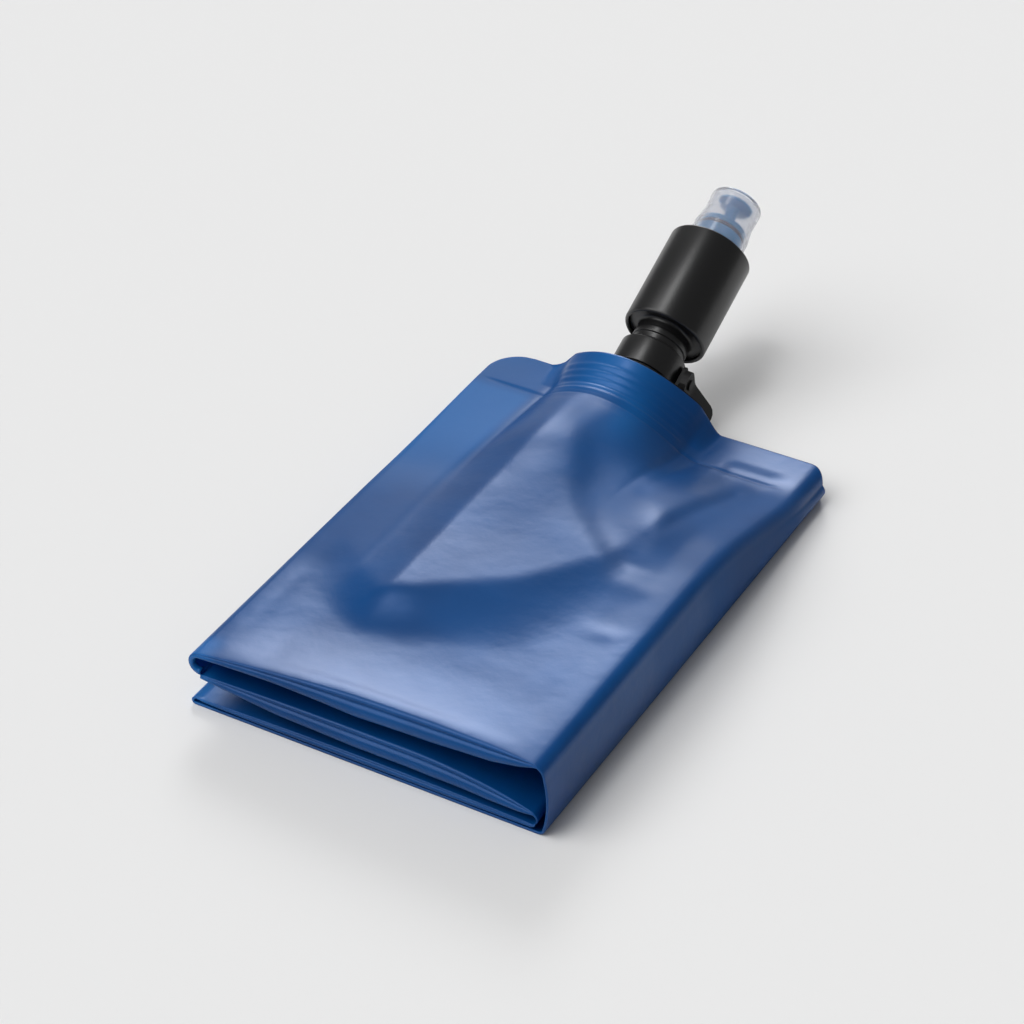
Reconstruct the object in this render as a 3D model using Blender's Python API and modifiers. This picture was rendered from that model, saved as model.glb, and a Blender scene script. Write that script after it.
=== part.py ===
# Soft filter water bottle: a film bag folded in half along its length, a spout
# welded into its seam, and a squeeze filter with a push-pull mouthpiece.
# Metres, +Z up. The bag lies on Z = 0, its width along X and its seam at +Y.

import math

import bmesh
import bpy
from mathutils import Matrix, Vector

MM = 0.001

# Bag: one film all over, and the width is the folded one
FILM = 0.5 * MM
BAG_WIDTH = 166 * MM
BAG_LENGTH = 258 * MM
LIP_HEIGHT_LEFT = 26.5 * MM
LIP_HEIGHT_RIGHT = 34.5 * MM
MIDDLE_LIP_HEIGHT = 16.5 * MM
MIDDLE_LIP_DROP = 8.5 * MM
LOWER_LEAF_HEIGHT = 3.5 * MM
LOWER_LEAF_CROWN = 1.2 * MM
WALL_TOP_RADIUS = 6 * MM
WALL_BOTTOM_RADIUS = 3 * MM
WALL_BULGE = 1.5 * MM
INNER_FOLD_INSET = 3.5 * MM
SEAM_GAP = 1.4 * MM
SEAM_HEIGHT_LEFT = 24.5 * MM
SEAM_HEIGHT_RIGHT = 14.5 * MM
WING_REACH = 20 * MM
PINCH_REACH = 130 * MM
SPINE_REACH = 90 * MM
FILM_TIP_REACH = 3 * MM
BAG_CORNER_RADIUS = 16 * MM

# Folds of the top film. Their lines are plan points in millimetres, and each crease
# is its height, negative for a dent, its half width and its line
TENT_HEIGHT = 4.8 * MM
TENT_LEFT = -54 * MM
TENT_SLOPE = 26 * MM
TENT_CURVE = 1.4
TENT_RIGHT = 45 * MM
TENT_RIGHT_DROP = 0.6
TENT_BACK = 110 * MM
TENT_BACK_EASE = 60 * MM
RIM = [(-95, -4), (-66, -36), (-33, -64), (-20, -59), (15, -33), (37, -3), (47, 35), (52, 140)]
RIM_CURVE = 1.2
FOOT = [(-95, -40), (-68, -68), (-32, -89), (-8, -88), (42, -70), (68, -15), (80, 60), (82, 140)]
LOW_GROUND = 2.8 * MM
LOW_GROUND_LEFT_EASE = 35 * MM
LOW_GROUND_RIGHT_EASE = 75 * MM
LOW_GROUND_RIGHT_START = 10 * MM
LIP_RISE_START = -88 * MM
LIP_RISE = 38 * MM
TONGUE = [(-12, 110), (-12, 76), (-9, 56), (-2, 39), (8, 26), (37, 1)]
TONGUE_DEPTH = 2 * MM
TONGUE_REACH = 32 * MM
TONGUE_CURVE = 1.3
TONGUE_RISE = 3.4 * MM
TONGUE_WIDTH = 14 * MM
TONGUE_BACK = 96 * MM
TONGUE_BACK_EASE = 30 * MM
TONGUE_TIP_EASE = 14 * MM
FOLD_START = 21 * MM
FOLD_EASE = 16 * MM
FOLD_EDGE_EASE = 12 * MM
CREASES = [
    (2 * MM, 26 * MM, [(-20, 58), (-14, 30)]),
    (-4.2 * MM, 11 * MM, [(20, 92), (26, 72), (30, 56)]),
    (1 * MM, 7 * MM, [(46, 80), (46, 45), (41, 12)]),
]

# Spout: its axis leaves the seam's end face at this point, tilt and roll
SPOUT_X = -13.5 * MM
SPOUT_HEIGHT = 29 * MM
SPOUT_TILT = math.radians(24.5)
SPOUT_ROLL = math.radians(6)
BOAT_WIDTH = 62 * MM
BOAT_THICKNESS = 35 * MM
BOAT_DEPTH = 17 * MM
RIB_HEIGHT = 0.7 * MM
RIB_COUNT = 5
FLANGE_RADIUS = 16.5 * MM
FLANGE_THICKNESS = 1.6 * MM
SPOUT_NECK_RADIUS = 13.5 * MM
SPOUT_NECK_END = 11.2 * MM
SPOUT_BORE_RADIUS = 10.2 * MM

# Hang arm: a flat strap on a pin through the lug on the spout's right side
LUG_THICKNESS = 1.5 * MM
LUG_HALF_WIDTH = 4 * MM
LUG_TOP_HEIGHT = 14.5 * MM
ARM_PIVOT_HEIGHT = 8 * MM
ARM_PIN_RADIUS = 1.5 * MM
ARM_PIN_HEAD_RADIUS = 2.5 * MM
ARM_PIN_HEAD = 0.8 * MM
ARM_THICKNESS = 3.2 * MM
ARM_BAND = 11 * MM
ARM_REACH = 18 * MM
ARM_BEND_RADIUS = 8 * MM
ARM_SPLAY_DEGREES = 28
ARM_LEAN = math.radians(2)

# Filter: heights along its axis, from the end face of the bag's seam
FIT_GAP = 0.3 * MM
RUN_GAP = 0.6 * MM
COLLAR_RADIUS = 16 * MM
COLLAR_START = 2.5 * MM
COLLAR_END = 16.3 * MM
COLLAR_LIP = 1.4 * MM
COLLAR_ROUND = 1.2 * MM
GASKET_THICKNESS = 1.4 * MM
INLET_NECK_RADIUS = 12.6 * MM
INLET_BORE_RADIUS = 9 * MM
SNAP_GROOVE_DEPTH = 1.2 * MM
SNAP_RING_HEIGHT = 1.0 * MM
SNAP_RING_RADIUS = 13.8 * MM
NECK_BEAD_RADIUS = 13.3 * MM
NECK_BEAD_START = 20.5 * MM
NECK_BEAD_END = 24 * MM
HOUSING_RADIUS = 20 * MM
HOUSING_WALL = 1.6 * MM
HOUSING_START = 26.5 * MM
HOUSING_END = 77 * MM
HOUSING_ROUND = 1.3 * MM
LOWER_CAP_RECESS = 2 * MM
TOP_CAP_RECESS = 0.6 * MM
CAP_THICKNESS = 4 * MM
CAP_RING_RADIUS = 0.9 * MM
CAP_ROUND = 0.4 * MM
CAGE_WALL = 1.0 * MM
CAGE_GAP = 0.6 * MM
CAGE_SLOTS = 8
CAGE_SLOT_WIDTH = 6 * MM
CAGE_SLOT_LENGTH = 24 * MM
BUNDLE_RADIUS = 15.6 * MM
BUNDLE_FLUTES = 12
BUNDLE_FLUTE_DEPTH = 0.7 * MM
BUNDLE_BEND = 3 * MM
BUNDLE_FOOT = 2 * MM
POTTING_THICKNESS = 7 * MM
OUTLET_CHAMBER = 1.5 * MM
OUTLET_RADIUS = 3 * MM
SCREEN_THICKNESS = 0.8 * MM
SCREEN_HOLE_RADIUS = 1.3 * MM
SCREEN_HOLES = 8
SCREEN_SEAT = 1.0 * MM

# Mouthpiece: the stem is fixed, and the sleeve slides on it
STEM_BASE_RADIUS = 10.7 * MM
STEM_BASE_END = 91.5 * MM
STEM_SPIGOT_RADIUS = 6 * MM
STEM_SPIGOT_DEPTH = 2.6 * MM
STEM_POST_RADIUS = 5 * MM
STEM_PLUG_RADIUS = 9.2 * MM
STEM_PLUG_START = 99.4 * MM
STEM_PLUG_END = 103 * MM
STEM_BORE_RADIUS = 2.6 * MM
STEM_PORT_RADIUS = 1.8 * MM
STEM_RING_RADIUS = 0.8 * MM
STEM_RING_HEIGHT = 88 * MM
SLEEVE_START = 78 * MM
SLEEVE_END = 107 * MM
SLEEVE_WALL = 1.5 * MM
SLEEVE_BASE_RADIUS = 13.5 * MM
SLEEVE_BASE_END = 88 * MM
SLEEVE_WAIST_RADIUS = 12.2 * MM
SLEEVE_WAIST_HEIGHT = 96.5 * MM
SLEEVE_TIP_RADIUS = 12.4 * MM
SLEEVE_MOUTH_RADIUS = 6.5 * MM
SLEEVE_ROUND = 2.2 * MM

# Counts of points that set how round the shapes are
LOOP_POINTS = 6
TOP_POINTS = 21
BOTTOM_POINTS = 3
INNER_UPPER_POINTS = 21
INNER_FOLD_POINTS = 5
INNER_LOWER_POINTS = 4
BOAT_POINTS = 14
JOIN_DEPTH = 0.1 * MM
SEAM_STATIONS = [0.0, 0.016, 0.033, 0.05, 0.066, 0.09, 0.125, 0.17]
OUTER_FILM_ROWS = 18
INNER_FILM_ROWS = 9

OBJECT_NAME = "soft_filter_bottle"

for old in list(bpy.data.objects):
    bpy.data.objects.remove(old, do_unlink=True)

parts = bpy.data.collections.new(OBJECT_NAME)
cutters = bpy.data.collections.new(OBJECT_NAME + "_cutters")
bpy.context.scene.collection.children.link(parts)
bpy.context.scene.collection.children.link(cutters)


# Materials

def finish(name, colour, roughness, metallic=0.0):
    material = bpy.data.materials.new(name)
    material.use_nodes = True
    shader = material.node_tree.nodes["Principled BSDF"]
    shader.inputs["Base Color"].default_value = (*colour, 1.0)
    shader.inputs["Roughness"].default_value = roughness
    shader.inputs["Metallic"].default_value = metallic
    material.diffuse_color = (*colour, 1.0)
    return material


blue_film = finish("blue_film", (0.06, 0.16, 0.42), 0.35)
black_moulding = finish("black_moulding", (0.012, 0.012, 0.013), 0.45)
black_rubber = finish("black_rubber", (0.02, 0.02, 0.02), 0.7)
white_fibre = finish("white_fibre", (0.85, 0.85, 0.82), 0.8)
white_moulding = finish("white_moulding", (0.8, 0.8, 0.8), 0.5)
potting_resin = finish("potting_resin", (0.75, 0.7, 0.55), 0.4)
steel = finish("stainless_steel", (0.6, 0.6, 0.6), 0.3, 1.0)
blue_moulding = finish("blue_moulding", (0.03, 0.18, 0.42), 0.35)
clear_moulding = finish("clear_moulding", (0.82, 0.85, 0.88), 0.15)


# Modelling helpers

def mix(first, second, share):
    return first + (second - first) * share


def clamp(value):
    return min(max(value, 0.0), 1.0)


def smoothstep(value):
    value = clamp(value)
    return value * value * (3 - 2 * value)


def arc(centre_x, centre_z, radius, start, end, count):
    # Points of an arc, from the start angle to the end angle in degrees
    angles = [math.radians(mix(start, end, index / (count - 1))) for index in range(count)]
    return [(centre_x + radius * math.cos(a), centre_z + radius * math.sin(a)) for a in angles]


def mesh_from(bm, name, smooth=True):
    mesh = bpy.data.meshes.new(name)
    bm.to_mesh(mesh)
    bm.free()
    if smooth:
        mesh.shade_smooth()
        mesh.set_sharp_from_angle(angle=math.radians(35))
    return mesh


def add_object(name, mesh, material, parent=None):
    # A piece with a material goes with the parts, and one without is a cutter
    thing = bpy.data.objects.new(name, mesh)
    thing.parent = parent
    if material:
        mesh.materials.append(material)
        parts.objects.link(thing)
    else:
        thing.hide_render = True
        thing.display_type = "WIRE"
        cutters.objects.link(thing)
    return thing


def add_frame(name, location, rotation, parent=None):
    frame = bpy.data.objects.new(name, None)
    parts.objects.link(frame)
    frame.parent = parent
    frame.location = location
    frame.rotation_euler = rotation
    return frame


def combine(target, tool, operation):
    boolean = target.modifiers.new(tool.name, "BOOLEAN")
    boolean.operation = operation
    boolean.solver = "EXACT"
    boolean.object = tool


def rounded(corners, segments=2):
    # An outline from (radius, height, rounding) corners, where a rounding above 0 becomes an arc
    outline = []
    for index, (radius, height, rounding) in enumerate(corners):
        corner = Vector((radius, height))
        if rounding == 0:
            outline.append(corner)
            continue
        before = (Vector(corners[index - 1][:2]) - corner).normalized()
        after = (Vector(corners[(index + 1) % len(corners)][:2]) - corner).normalized()
        half_angle = before.angle(after) / 2
        centre = corner + (before + after).normalized() * rounding / math.sin(half_angle)
        reach = rounding / math.tan(half_angle)
        start = corner + before * reach - centre
        end = corner + after * reach - centre
        first = math.atan2(start.y, start.x)
        sweep = (math.atan2(end.y, end.x) - first + math.pi) % (2 * math.pi) - math.pi
        for step in range(segments + 1):
            angle = first + sweep * step / segments
            outline.append(centre + Vector((math.cos(angle), math.sin(angle))) * rounding)
    return outline


def turned(name, profile, material, parent, steps=32, solid=False):
    # A profile's outer side runs from the top down, and a solid's two ends lie on the axis
    bm = bmesh.new()
    corners = [bm.verts.new((point[0], 0.0, point[1])) for point in profile]
    for pair in zip(corners, corners[1:]):
        bm.edges.new(pair)
    if not solid:
        bm.edges.new((corners[-1], corners[0]))
    thing = add_object(name, mesh_from(bm, name, smooth=False), material, parent)
    screw = thing.modifiers.new("turned", "SCREW")
    screw.steps = steps
    screw.render_steps = steps
    screw.use_merge_vertices = True
    screw.merge_threshold = 0.00001
    screw.use_smooth_shade = True
    return thing


def turned_ring(name, inner, outer, low, high, material, steps=28, rounding=0.0):
    # A ring of plain section about the filter's axis, with its outer corners rounded
    section = [(outer, high, rounding), (outer, low, rounding), (inner, low, 0), (inner, high, 0)]
    return turned(name, rounded(section), material, spout_axis, steps)


def o_ring(name, centre_radius, height, radius, steps=22, sides=6):
    section = arc(centre_radius, height, radius, 360, 360 / sides, sides)
    return turned(name, section, black_rubber, spout_axis, steps)


def lofted(name, outline, steps, material, parent):
    # An outline pushed along Z: each step is a height and shares of the outline's width and depth
    bm = bmesh.new()
    start, wide, deep = steps[0]
    corners = [bm.verts.new((x * wide, y * deep, start)) for x, y in outline]
    loop = [bm.edges.new((corners[index - 1], corners[index])) for index in range(len(corners))]
    for (last, last_wide, last_deep), (height, wide, deep) in zip(steps, steps[1:]):
        moved = bmesh.ops.extrude_edge_only(bm, edges=loop)["geom"]
        loop = [item for item in moved if isinstance(item, bmesh.types.BMEdge)]
        verts = [item for item in moved if isinstance(item, bmesh.types.BMVert)]
        bmesh.ops.translate(bm, verts=verts, vec=(0, 0, height - last))
        bmesh.ops.scale(bm, verts=verts, vec=(wide / last_wide, deep / last_deep, 1))
    bmesh.ops.holes_fill(bm, edges=bm.edges)
    bmesh.ops.recalc_face_normals(bm, faces=bm.faces)
    return add_object(name, mesh_from(bm, name), material, parent)


def rod(name, radius, length, parent, location=(0, 0, 0), turn=(0, 0, 0), sides=16):
    # A plain round cutter along its own Z
    bm = bmesh.new()
    bmesh.ops.create_cone(bm, cap_ends=True, segments=sides, radius1=radius, radius2=radius, depth=length)
    thing = add_object(name, mesh_from(bm, name), None, parent)
    thing.location = location
    thing.rotation_euler = turn
    return thing


# Bag films: a section across the width at each distance from the seam

HALF_WIDTH = BAG_WIDTH / 2
HALF_BOAT = BOAT_WIDTH / 2
SEAM_Y = BAG_LENGTH / 2
FILM_TO_BOAT = FILM / 2 + FIT_GAP + RIB_HEIGHT
EDGE_GAP = FIT_GAP + FILM


def film_lens(x):
    # How far the film stands off the boat's middle line, 0 past the film's own tips
    reach = HALF_BOAT + RIB_HEIGHT + FILM_TIP_REACH
    share = min(abs(x - SPOUT_X) / reach, 1.0)
    return (BOAT_THICKNESS / 2 + FILM_TO_BOAT) * (1 - share * share)


def seam_line(x, inset):
    # The boat's middle line, tilted with the spout, and the wings that droop from its tips
    depth = min(inset, BOAT_DEPTH)
    nearest = min(max(x, SPOUT_X - HALF_BOAT), SPOUT_X + HALF_BOAT)
    line = SPOUT_HEIGHT - depth * math.tan(SPOUT_TILT) - (nearest - SPOUT_X) * math.sin(SPOUT_ROLL)
    wing_end = SEAM_HEIGHT_LEFT if x < SPOUT_X else SEAM_HEIGHT_RIGHT
    return mix(line, wing_end, smoothstep(abs(x - nearest) / WING_REACH))


def front_heights(x):
    # Heights of the upper leaf's two films at the open front
    share = (x + HALF_WIDTH) / BAG_WIDTH
    top = mix(LIP_HEIGHT_LEFT, LIP_HEIGHT_RIGHT, 1 - (1 - share) ** 3)
    drop = MIDDLE_LIP_DROP * max(0.0, (share - 0.6) / 0.4) ** 2
    return top, MIDDLE_LIP_HEIGHT - drop


def upper_leaf(x, inset):
    # Heights of the outer and the inner film of the upper leaf
    top, low = front_heights(x)
    away = smoothstep((inset - BOAT_DEPTH) / SPINE_REACH)
    middle = mix(seam_line(x, inset), (top + low) / 2, away)
    half = mix((FILM + SEAM_GAP) / 2, (top - low) / 2, smoothstep(inset / PINCH_REACH))
    boat = film_lens(x) * math.cos(SPOUT_TILT) * (1 - away)
    return middle + half + boat, middle - half - boat


def lower_leaf(x, inset):
    # Height of the inner film where it lies over the bottom of the outer one
    share = (x + HALF_WIDTH) / BAG_WIDTH
    crown = LOWER_LEAF_HEIGHT + LOWER_LEAF_CROWN * math.sin(math.pi * share)
    return mix(FILM * 1.5 + SEAM_GAP, crown, smoothstep(inset / PINCH_REACH))


def corner_cut(inset):
    # How far the rounded corner at the seam takes the bag's edge in
    short = max(BAG_CORNER_RADIUS - inset, 0.0)
    return BAG_CORNER_RADIUS - math.sqrt(BAG_CORNER_RADIUS ** 2 - short ** 2)


def left_edges(inset):
    # Radius of the rounded left edge of each leaf, and where its flat run starts
    top, low = upper_leaf(-HALF_WIDTH, inset)
    upper_radius = (top - low) / 2
    lower_radius = (lower_leaf(-HALF_WIDTH, inset) - FILM / 2) / 2
    start = FILM / 2 - HALF_WIDTH + corner_cut(inset)
    return upper_radius, lower_radius, start + upper_radius, start + lower_radius


def gap_angle(radius):
    # The angle that keeps the two films' edges apart on a rounded edge
    return min(math.degrees(EDGE_GAP / radius), 60)


def offset_from(x, y, line):
    # Distance in plan to a line of points, positive on its left side
    nearest, side = BAG_LENGTH, 0.0
    for (start_x, start_y), (end_x, end_y) in zip(line, line[1:]):
        start = Vector((start_x, start_y)) * MM
        along = Vector((end_x, end_y)) * MM - start
        away = Vector((x, y)) - start
        share = min(max(away.dot(along) / along.length_squared, 0.0), 1.0)
        gap = (away - along * share).length
        if gap < nearest:
            nearest = gap
            side = math.copysign(1.0, along.x * away.y - along.y * away.x)
    return nearest * side


def tongue_height(x, y):
    # The valley across the tent, sharp at its line, and the crest behind it
    across = offset_from(x, y, TONGUE)
    if across < 0:
        height = -TONGUE_DEPTH * clamp(1 + across / TONGUE_REACH) ** TONGUE_CURVE
    else:
        crest = TONGUE_RISE - TONGUE_DEPTH
        height = TONGUE_RISE * smoothstep(across / TONGUE_WIDTH) - TONGUE_DEPTH
        height -= crest * smoothstep((across - TONGUE_WIDTH) / TONGUE_WIDTH)
    ends = smoothstep((TONGUE_BACK - y) / TONGUE_BACK_EASE)
    return height * ends * smoothstep((TENT_RIGHT - x) / TONGUE_TIP_EASE)


def fold_height(x, inset, first_x, last_x):
    # How far the creased film stands above its plain loft: a tent that climbs from the left
    # to its rim, the fall from the rim to the low ground at its foot, and what crosses it
    y = SEAM_Y - inset
    crest_x = TENT_LEFT + TENT_SLOPE
    climb = clamp((x - TENT_LEFT) / TENT_SLOPE) ** TENT_CURVE
    climb *= 1 - TENT_RIGHT_DROP * clamp((x - crest_x) / (TENT_RIGHT - crest_x))
    climb *= smoothstep((TENT_BACK - y) / TENT_BACK_EASE)
    past_rim = max(-offset_from(x, y, RIM), 0.0)
    to_foot = max(offset_from(x, y, FOOT), JOIN_DEPTH)
    fall = math.sin(math.pi / 2 * past_rim / (past_rim + to_foot)) ** RIM_CURVE
    depth = LOW_GROUND * smoothstep((x + HALF_WIDTH) / LOW_GROUND_LEFT_EASE)
    depth *= smoothstep((HALF_WIDTH + LOW_GROUND_RIGHT_START - x) / LOW_GROUND_RIGHT_EASE)
    to_lip = clamp((LIP_RISE_START - y) / LIP_RISE)
    height = (depth + TENT_HEIGHT * climb) * (1 - fall) - depth * (1 - to_lip * to_lip)
    height += tongue_height(x, y)
    for rise, width, line in CREASES:
        height += rise * math.exp(-(offset_from(x, y, line) / width) ** 2)
    ease = smoothstep((inset - FOLD_START) / FOLD_EASE)
    ease *= smoothstep((x - first_x) / FOLD_EDGE_EASE) * smoothstep((last_x - x) / FOLD_EDGE_EASE)
    return height * ease


def outer_section(inset):
    # Round the upper left edge, over the top, down the folded right wall and back along the floor
    upper_radius, lower_radius, upper_edge, lower_edge = left_edges(inset)
    top, low = upper_leaf(upper_edge, inset)
    radius = (top - low) / 2
    points = arc(upper_edge, (top + low) / 2, radius, 270 - gap_angle(radius), 90, LOOP_POINTS)
    wall_x = HALF_WIDTH - FILM / 2 - WALL_BULGE
    wall_top = upper_leaf(wall_x, inset)[0]
    top_round = min(WALL_TOP_RADIUS, wall_top * 0.45)
    low_round = min(WALL_BOTTOM_RADIUS, wall_top * 0.25)
    run_end = wall_x - top_round
    run = [mix(upper_edge, run_end, index / TOP_POINTS) for index in range(1, TOP_POINTS)]
    folds = [fold_height(x, inset, upper_edge, run_end) for x in run]
    points += [(x, upper_leaf(x, inset)[0] + fold) for x, fold in zip(run, folds)]
    points += arc(run_end, wall_top - top_round, top_round, 75, 0, 4)
    points.append((wall_x + WALL_BULGE, mix(low_round, wall_top - top_round, 0.45)))
    points += arc(wall_x - low_round, low_round + FILM / 2, low_round, 0, -90, 3)
    count = BOTTOM_POINTS
    run = [mix(wall_x - low_round, lower_edge, index / count) for index in range(1, count + 1)]
    points += [(x, FILM / 2) for x in run]
    centre_z = FILM / 2 + lower_radius
    points += arc(lower_edge, centre_z, lower_radius, 225, 90 + gap_angle(lower_radius), LOOP_POINTS - 2)
    return points


def inner_section(inset):
    # Under the upper leaf, round the inner fold and back over the lower leaf
    upper_edge, lower_edge = left_edges(inset)[2:]
    fold_x = HALF_WIDTH - WALL_BULGE - INNER_FOLD_INSET
    fold_low = lower_leaf(fold_x, inset)
    fold_top = upper_leaf(fold_x - INNER_FOLD_INSET, inset)[1]
    radius = (fold_top - fold_low) / 2
    bend_x = fold_x - min(radius, INNER_FOLD_INSET)
    count = INNER_UPPER_POINTS
    run = [mix(upper_edge + EDGE_GAP / 2, bend_x, index / count) for index in range(count)]
    points = [(x, upper_leaf(x, inset)[1]) for x in run]
    bend = arc(0, 0, 1, 90, -90, INNER_FOLD_POINTS)
    points += [(mix(bend_x, fold_x, x), fold_low + radius * (1 + z)) for x, z in bend]
    count = INNER_LOWER_POINTS
    run = [mix(bend_x, lower_edge + EDGE_GAP / 2, index / count) for index in range(1, count + 1)]
    points += [(x, lower_leaf(x, inset)) for x in run]
    return points


def lean(x, z, inset):
    # How far a point of the upper leaf near the boat leans back with the spout, along -Y
    top, low = upper_leaf(x, inset)
    if not low - FILM < z < top + FILM:
        return 0.0
    away = smoothstep(inset / SPINE_REACH)
    near = smoothstep(2 - abs(x - SPOUT_X) / HALF_BOAT)
    return math.tan(SPOUT_TILT) * (z - seam_line(x, inset)) * near * (1 - away)


def film_sheet(name, section, rows_ahead):
    # A sheet lofted through the sections, from the seam to the open front
    last = SEAM_STATIONS[-1]
    stations = SEAM_STATIONS + [mix(last, 1.0, row / rows_ahead) for row in range(1, rows_ahead + 1)]
    sections = [section(share * BAG_LENGTH) for share in stations]
    columns = len(sections[0]) - 1
    rows = len(stations) - 1
    bm = bmesh.new()
    bmesh.ops.create_grid(bm, x_segments=columns, y_segments=rows, size=1.0)
    for vert in bm.verts:
        column = round((vert.co.x + 1) / 2 * columns)
        row = round((1 - vert.co.y) / 2 * rows)
        inset = stations[row] * BAG_LENGTH
        x, z = sections[row][column]
        end_gap = (FIT_GAP + FILM / 2) * (1 - stations[row])
        vert.co = (x, SEAM_Y - inset - end_gap - lean(x, z, inset), z)
    thing = add_object(name, mesh_from(bm, name), blue_film)
    solidify = thing.modifiers.new("film_thickness", "SOLIDIFY")
    solidify.thickness = FILM
    solidify.offset = 0.0
    solidify.use_even_offset = True
    return thing


film_sheet("bag_outer_film", outer_section, OUTER_FILM_ROWS)
film_sheet("bag_inner_film", inner_section, INNER_FILM_ROWS)


# Spout: its frame has +Z along the filter's axis, +X along the boat and +Y down

spout_axis = add_frame(
    "spout_axis",
    (SPOUT_X, SEAM_Y, SPOUT_HEIGHT),
    (SPOUT_TILT - math.pi / 2, 0.0, 0.0),
)
boat_frame = add_frame("boat_frame", (0, 0, 0), (0, 0, SPOUT_ROLL), spout_axis)


def boat_outline():
    # The lens-shaped outline of the boat's ribs: two parabolas that meet at the tips
    points = []
    for side in (1, -1):
        for index in range(BOAT_POINTS):
            share = math.cos(math.pi * index / BOAT_POINTS) * side
            height = (BOAT_THICKNESS / 2 + RIB_HEIGHT) * (1 - share * share) * side
            points.append((share * (HALF_BOAT + RIB_HEIGHT), height))
    return points


def boat_steps():
    # Ribs and grooves in turn along the boat's depth
    pitch = BOAT_DEPTH / (2 * RIB_COUNT - 1)
    groove = (HALF_BOAT / (HALF_BOAT + RIB_HEIGHT), BOAT_THICKNESS / (BOAT_THICKNESS + 2 * RIB_HEIGHT))
    steps = []
    for index in range(2 * RIB_COUNT - 1):
        size = (1.0, 1.0) if index % 2 == 0 else groove
        steps.append((index * pitch - BOAT_DEPTH, *size))
        steps.append(((index + 1) * pitch - BOAT_DEPTH, *size))
    return steps


spout = lofted("spout_fitment", boat_outline(), boat_steps(), black_moulding, boat_frame)

neck_outline = [
    (0, SPOUT_NECK_END),
    (SPOUT_NECK_RADIUS, SPOUT_NECK_END),
    (SPOUT_NECK_RADIUS, FLANGE_THICKNESS),
    (FLANGE_RADIUS, FLANGE_THICKNESS),
    (FLANGE_RADIUS, -JOIN_DEPTH),
    (SPOUT_NECK_RADIUS, -JOIN_DEPTH),
    (SPOUT_NECK_RADIUS, -FLANGE_THICKNESS),
    (0, -FLANGE_THICKNESS),
]
neck_blank = turned("spout_neck_blank", neck_outline, None, boat_frame, solid=True)

lug_inner = COLLAR_RADIUS + RUN_GAP
lug_outer = lug_inner + LUG_THICKNESS


def lug_blank_mesh():
    # The lug and the foot that joins it to the flange, with the corners of the lug's top rounded
    outline = [
        (0, -JOIN_DEPTH / 2),
        (lug_outer, -JOIN_DEPTH / 2),
        (lug_outer, LUG_TOP_HEIGHT),
        (lug_inner, LUG_TOP_HEIGHT),
        (lug_inner, FLANGE_THICKNESS - JOIN_DEPTH),
        (0, FLANGE_THICKNESS - JOIN_DEPTH),
    ]
    bm = bmesh.new()
    face = bm.faces.new([bm.verts.new((x, -LUG_HALF_WIDTH, z)) for x, z in outline])
    moved = bmesh.ops.extrude_face_region(bm, geom=[face])["geom"]
    far = [item for item in moved if isinstance(item, bmesh.types.BMVert)]
    bmesh.ops.translate(bm, verts=far, vec=(0, 2 * LUG_HALF_WIDTH, 0))
    tops = []
    for edge in bm.edges:
        first, second = edge.verts
        along_x = abs(first.co.x - second.co.x) > LUG_THICKNESS / 2
        at_top = min(first.co.z, second.co.z) > LUG_TOP_HEIGHT - JOIN_DEPTH
        if along_x and at_top:
            tops.append(edge)
    bmesh.ops.bevel(
        bm, geom=tops, offset=LUG_HALF_WIDTH * 0.4, segments=3, profile=0.5, affect="EDGES", material=-1
    )
    bmesh.ops.recalc_face_normals(bm, faces=bm.faces)
    return mesh_from(bm, "lug_blank", smooth=False)


sideways = (0, math.pi / 2, 0)
pivot = (0, 0, ARM_PIVOT_HEIGHT)
hole_radius = ARM_PIN_RADIUS + FIT_GAP
combine(spout, neck_blank, "UNION")
combine(spout, add_object("lug_blank", lug_blank_mesh(), None, boat_frame), "UNION")
bore_length = 2 * (BOAT_DEPTH + SPOUT_NECK_END)
combine(spout, rod("spout_bore", SPOUT_BORE_RADIUS, bore_length, boat_frame, sides=28), "DIFFERENCE")
lug_hole_place = (lug_outer, 0, ARM_PIVOT_HEIGHT)
lug_hole = rod("lug_hole", hole_radius, 3 * LUG_THICKNESS, boat_frame, lug_hole_place, sideways)
combine(spout, lug_hole, "DIFFERENCE")


# Hang arm: its frame turns about the pin, and the arm hangs along +Y and splays to +X

arm_x = lug_outer + FIT_GAP + ARM_THICKNESS / 2
arm_frame = add_frame("arm_frame", pivot, (-ARM_LEAN, 0, 0), boat_frame)


def arm_strap():
    # The strap as a ribbon with round ends, before it gets its thickness
    eye = ARM_BAND / 2
    line = [(arm_x, -eye), (arm_x, 0)]
    line += arc(arm_x + ARM_BEND_RADIUS, eye, ARM_BEND_RADIUS, 180, 180 - ARM_SPLAY_DEGREES, 4)
    splay = math.radians(ARM_SPLAY_DEGREES)
    last_x, last_y = line[-1]
    line.append((last_x + ARM_REACH * math.sin(splay), last_y + ARM_REACH * math.cos(splay)))
    bm = bmesh.new()
    verts = [bm.verts.new((x, y, -ARM_BAND / 2)) for x, y in line]
    edges = [bm.edges.new(pair) for pair in zip(verts, verts[1:])]
    moved = bmesh.ops.extrude_edge_only(bm, edges=edges)["geom"]
    far = [item for item in moved if isinstance(item, bmesh.types.BMVert)]
    bmesh.ops.translate(bm, verts=far, vec=(0, 0, ARM_BAND))
    ends = [vert for vert in bm.verts if len(vert.link_edges) == 2]
    bmesh.ops.bevel(
        bm, geom=ends, offset=ARM_BAND * 0.4, segments=3, profile=0.5, affect="VERTICES", material=-1
    )
    bmesh.ops.recalc_face_normals(bm, faces=bm.faces)
    return mesh_from(bm, "hang_arm")


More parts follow.
